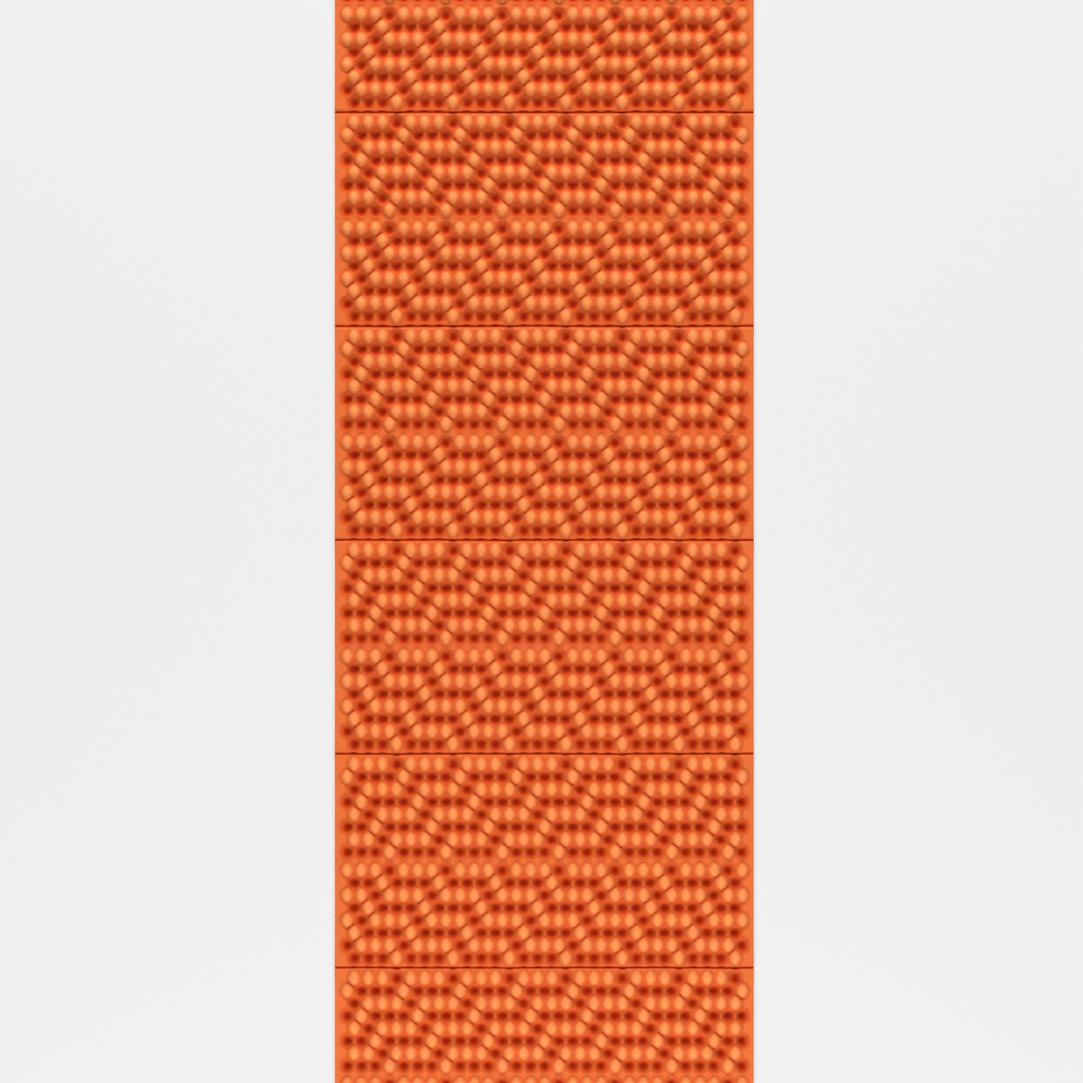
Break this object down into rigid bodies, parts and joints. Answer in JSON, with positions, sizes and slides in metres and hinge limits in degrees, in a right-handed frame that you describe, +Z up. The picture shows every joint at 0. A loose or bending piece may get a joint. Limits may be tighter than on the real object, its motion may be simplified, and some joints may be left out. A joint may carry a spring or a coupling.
{
  "type": "folding foam sleeping pad",
  "caption": "Closed-cell foam sleeping pad of moulded egg-crate panels that fold like an accordion at creases hinged by turns at the bottom and at the top.",
  "frame": {"origin": "under the middle of the unfolded pad, on the surface it lies on", "axes": "+Y along the pad towards panel_01, +X across it, +Z up out of the upper side"},
  "size_m": [0.51, 1.82, 0.02],
  "materials": {
    "closed_cell_foam": "soft satin skin of moulded closed-cell foam, orange",
    "pressed_foam": "the same foam, pressed thin along a fold line"
  },
  "bodies": {
    "panel_01": {"panel_01": "closed_cell_foam", "crease_01": "pressed_foam"},
    "panel_02": {"panel_02": "closed_cell_foam", "crease_02": "pressed_foam"},
    "panel_03": {"panel_03": "closed_cell_foam", "crease_03": "pressed_foam"},
    "panel_04": {"panel_04": "closed_cell_foam", "crease_04": "pressed_foam"},
    "panel_05": {"panel_05": "closed_cell_foam", "crease_05": "pressed_foam"},
    "panel_06": {"panel_06": "closed_cell_foam", "crease_06": "pressed_foam"},
    "panel_07": {"panel_07": "closed_cell_foam", "crease_07": "pressed_foam"},
    "panel_08": {"panel_08": "closed_cell_foam", "crease_08": "pressed_foam"},
    "panel_09": {"panel_09": "closed_cell_foam", "crease_09": "pressed_foam"},
    "panel_10": {"panel_10": "closed_cell_foam", "crease_10": "pressed_foam"},
    "panel_11": {"panel_11": "closed_cell_foam", "crease_11": "pressed_foam"},
    "panel_12": {"panel_12": "closed_cell_foam", "crease_12": "pressed_foam"},
    "panel_13": {"panel_13": "closed_cell_foam", "crease_13": "pressed_foam"},
    "panel_14": {"panel_14": "closed_cell_foam"}
  },
  "joints": [
    {"name": "crease_01_fold", "type": "hinge", "parent": "panel_02", "child": "panel_01", "pos_m": [0, 0.78, 0.005], "axis": [-1, 0, 0], "range_deg": [0, 180]},
    {"name": "crease_02_fold", "type": "hinge", "parent": "panel_03", "child": "panel_02", "pos_m": [0, 0.65, 0.015], "axis": [1, 0, 0], "range_deg": [0, 180]},
    {"name": "crease_03_fold", "type": "hinge", "parent": "panel_04", "child": "panel_03", "pos_m": [0, 0.52, 0.005], "axis": [-1, 0, 0], "range_deg": [0, 180]},
    {"name": "crease_04_fold", "type": "hinge", "parent": "panel_05", "child": "panel_04", "pos_m": [0, 0.39, 0.015], "axis": [1, 0, 0], "range_deg": [0, 180]},
    {"name": "crease_05_fold", "type": "hinge", "parent": "panel_06", "child": "panel_05", "pos_m": [0, 0.26, 0.005], "axis": [-1, 0, 0], "range_deg": [0, 180]},
    {"name": "crease_06_fold", "type": "hinge", "parent": "panel_07", "child": "panel_06", "pos_m": [0, 0.13, 0.015], "axis": [1, 0, 0], "range_deg": [0, 180]},
    {"name": "crease_07_fold", "type": "hinge", "parent": "panel_07", "child": "panel_08", "pos_m": [0, 0, 0.005], "axis": [1, 0, 0], "range_deg": [0, 180]},
    {"name": "crease_08_fold", "type": "hinge", "parent": "panel_08", "child": "panel_09", "pos_m": [0, -0.13, 0.015], "axis": [-1, 0, 0], "range_deg": [0, 180]},
    {"name": "crease_09_fold", "type": "hinge", "parent": "panel_09", "child": "panel_10", "pos_m": [0, -0.26, 0.005], "axis": [1, 0, 0], "range_deg": [0, 180]},
    {"name": "crease_10_fold", "type": "hinge", "parent": "panel_10", "child": "panel_11", "pos_m": [0, -0.39, 0.015], "axis": [-1, 0, 0], "range_deg": [0, 180]},
    {"name": "crease_11_fold", "type": "hinge", "parent": "panel_11", "child": "panel_12", "pos_m": [0, -0.52, 0.005], "axis": [1, 0, 0], "range_deg": [0, 180]},
    {"name": "crease_12_fold", "type": "hinge", "parent": "panel_12", "child": "panel_13", "pos_m": [0, -0.65, 0.015], "axis": [-1, 0, 0], "range_deg": [0, 180]},
    {"name": "crease_13_fold", "type": "hinge", "parent": "panel_13", "child": "panel_14", "pos_m": [0, -0.78, 0.005], "axis": [1, 0, 0], "range_deg": [0, 180]}
  ]
}
